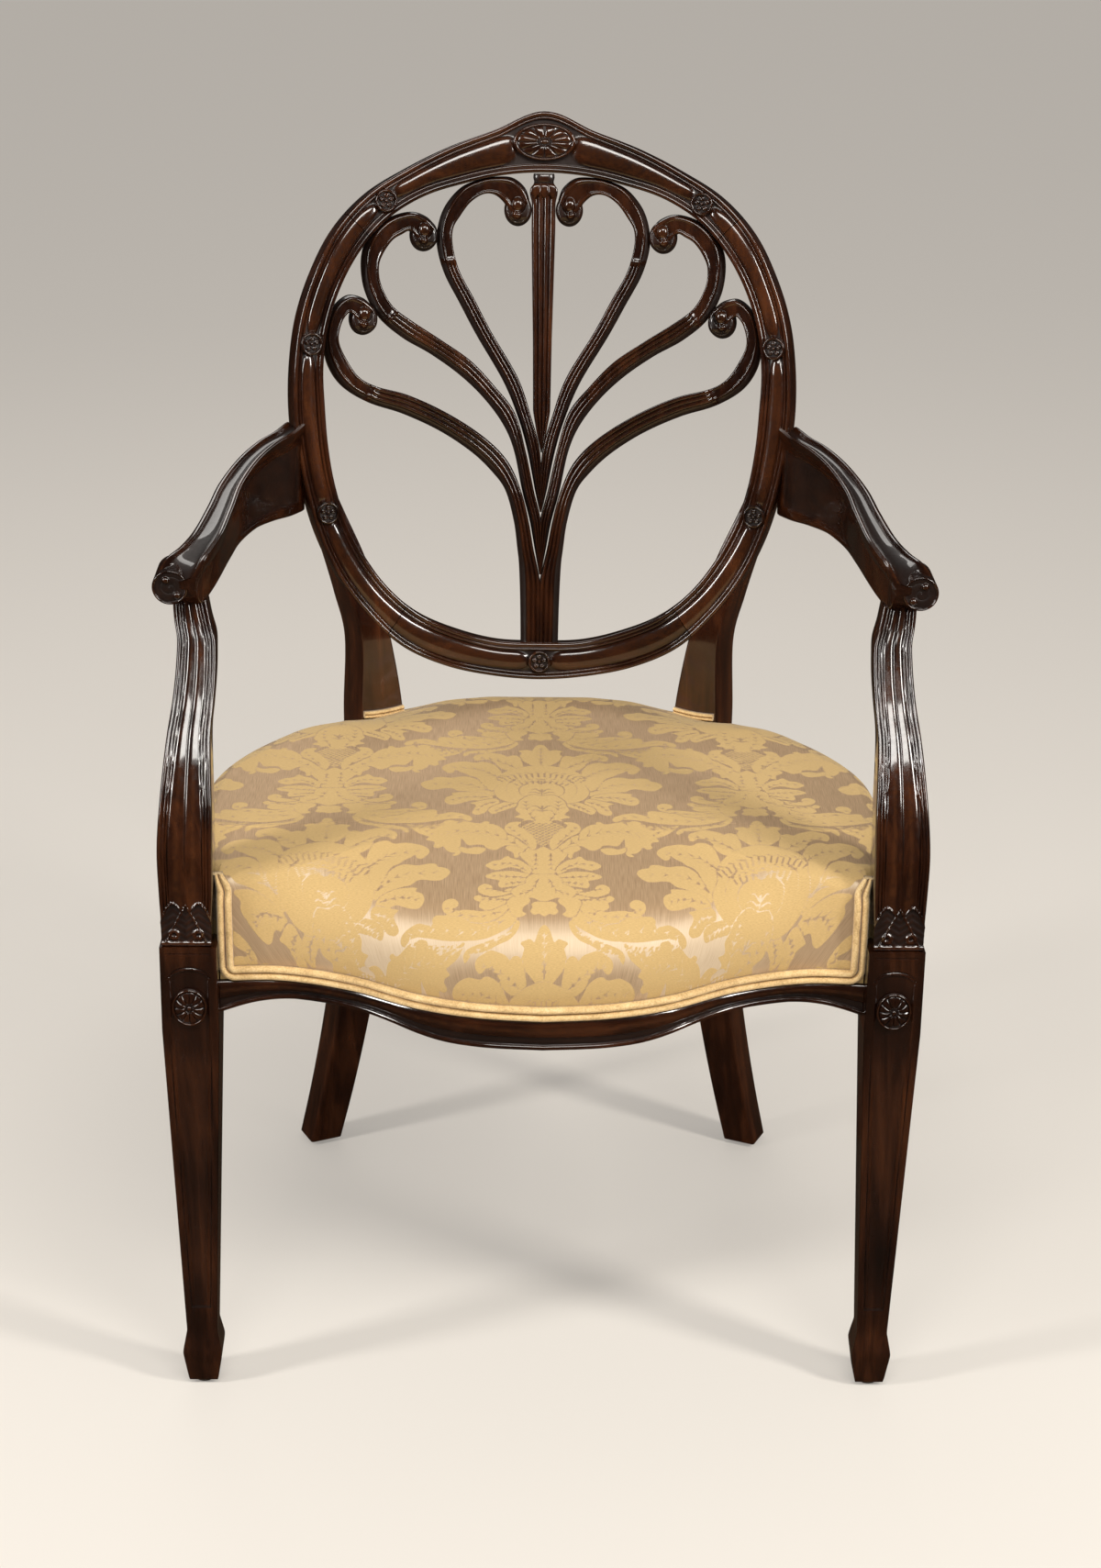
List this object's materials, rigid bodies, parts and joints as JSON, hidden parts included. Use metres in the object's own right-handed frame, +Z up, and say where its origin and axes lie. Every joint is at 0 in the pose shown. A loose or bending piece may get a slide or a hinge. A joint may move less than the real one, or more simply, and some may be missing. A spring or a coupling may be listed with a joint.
{
  "type": "shield back chair",
  "caption": "Mahogany armchair with a pointed oval back of carved scrolling branches, scrolled arms, spade-foot legs and a serpentine upholstered seat.",
  "frame": {"origin": "on the floor under the centre of the chair's bounding box", "axes": "+Z up; the front of the seat faces -Y; +X is the side on the right when looking at the chair from the front"},
  "size_m": [0.615, 0.5854, 0.9778],
  "materials": {
    "mahogany": "dark red-brown mahogany with a glossy French polish and darker wear in the hollows",
    "inner_frame_wood": "plain sawn hardwood, unpolished",
    "steel": "plain bright steel",
    "damask": "satin damask, gold figure on a taupe ground",
    "welt_cloth": "cream-gold cloth over cord",
    "stuffing": "off-white wadding",
    "webbing": "coarse jute webbing",
    "cambric": "thin black lining cloth"
  },
  "bodies": {
    "root": {"arm_left": "mahogany", "arm_right": "mahogany", "arm_screw_left": "steel", "arm_screw_right": "steel", "arm_support_left": "mahogany", "arm_support_right": "mahogany", "bottom_rosette": "mahogany", "crest_patera": "mahogany", "crest_rail": "mahogany", "dust_cover": "cambric", "front_block_screw_1_left": "steel", "front_block_screw_1_right": "steel", "front_block_screw_2_left": "steel", "front_block_screw_2_right": "steel", "front_corner_block_left": "inner_frame_wood", "front_corner_block_right": "inner_frame_wood", "front_double_welt": "welt_cloth", "front_glide_left": "steel", "front_glide_right": "steel", "front_leg_left": "mahogany", "front_leg_patera_left": "mahogany", "front_leg_patera_right": "mahogany", "front_leg_right": "mahogany", "front_seat_rail": "mahogany", "lower_back_rail": "mahogany", "lower_rosette_left": "mahogany", "lower_rosette_right": "mahogany", "post_gimp_left": "welt_cloth", "post_gimp_right": "welt_cloth", "rear_block_screw_1_left": "steel", "rear_block_screw_1_right": "steel", "rear_block_screw_2_left": "steel", "rear_block_screw_2_right": "steel", "rear_corner_block_left": "inner_frame_wood", "rear_corner_block_right": "inner_frame_wood", "rear_double_welt": "welt_cloth", "rear_glide_left": "steel", "rear_glide_right": "steel", "rear_leg_left": "mahogany", "rear_leg_right": "mahogany", "rear_seat_rail": "mahogany", "seat_cover": "damask", "seat_pad": "stuffing", "seat_webbing": "webbing", "side_double_welt_left": "welt_cloth", "side_double_welt_right": "welt_cloth", "side_rosette_left": "mahogany", "side_rosette_right": "mahogany", "side_seat_rail_left": "mahogany", "side_seat_rail_right": "mahogany", "splat_centre_bar": "mahogany", "splat_inner_branch_left": "mahogany", "splat_inner_branch_right": "mahogany", "splat_middle_branch_left": "mahogany", "splat_middle_branch_right": "mahogany", "splat_outer_branch_left": "mahogany", "splat_outer_branch_right": "mahogany", "upper_rosette_left": "mahogany", "upper_rosette_right": "mahogany"}
  },
  "joints": []
}
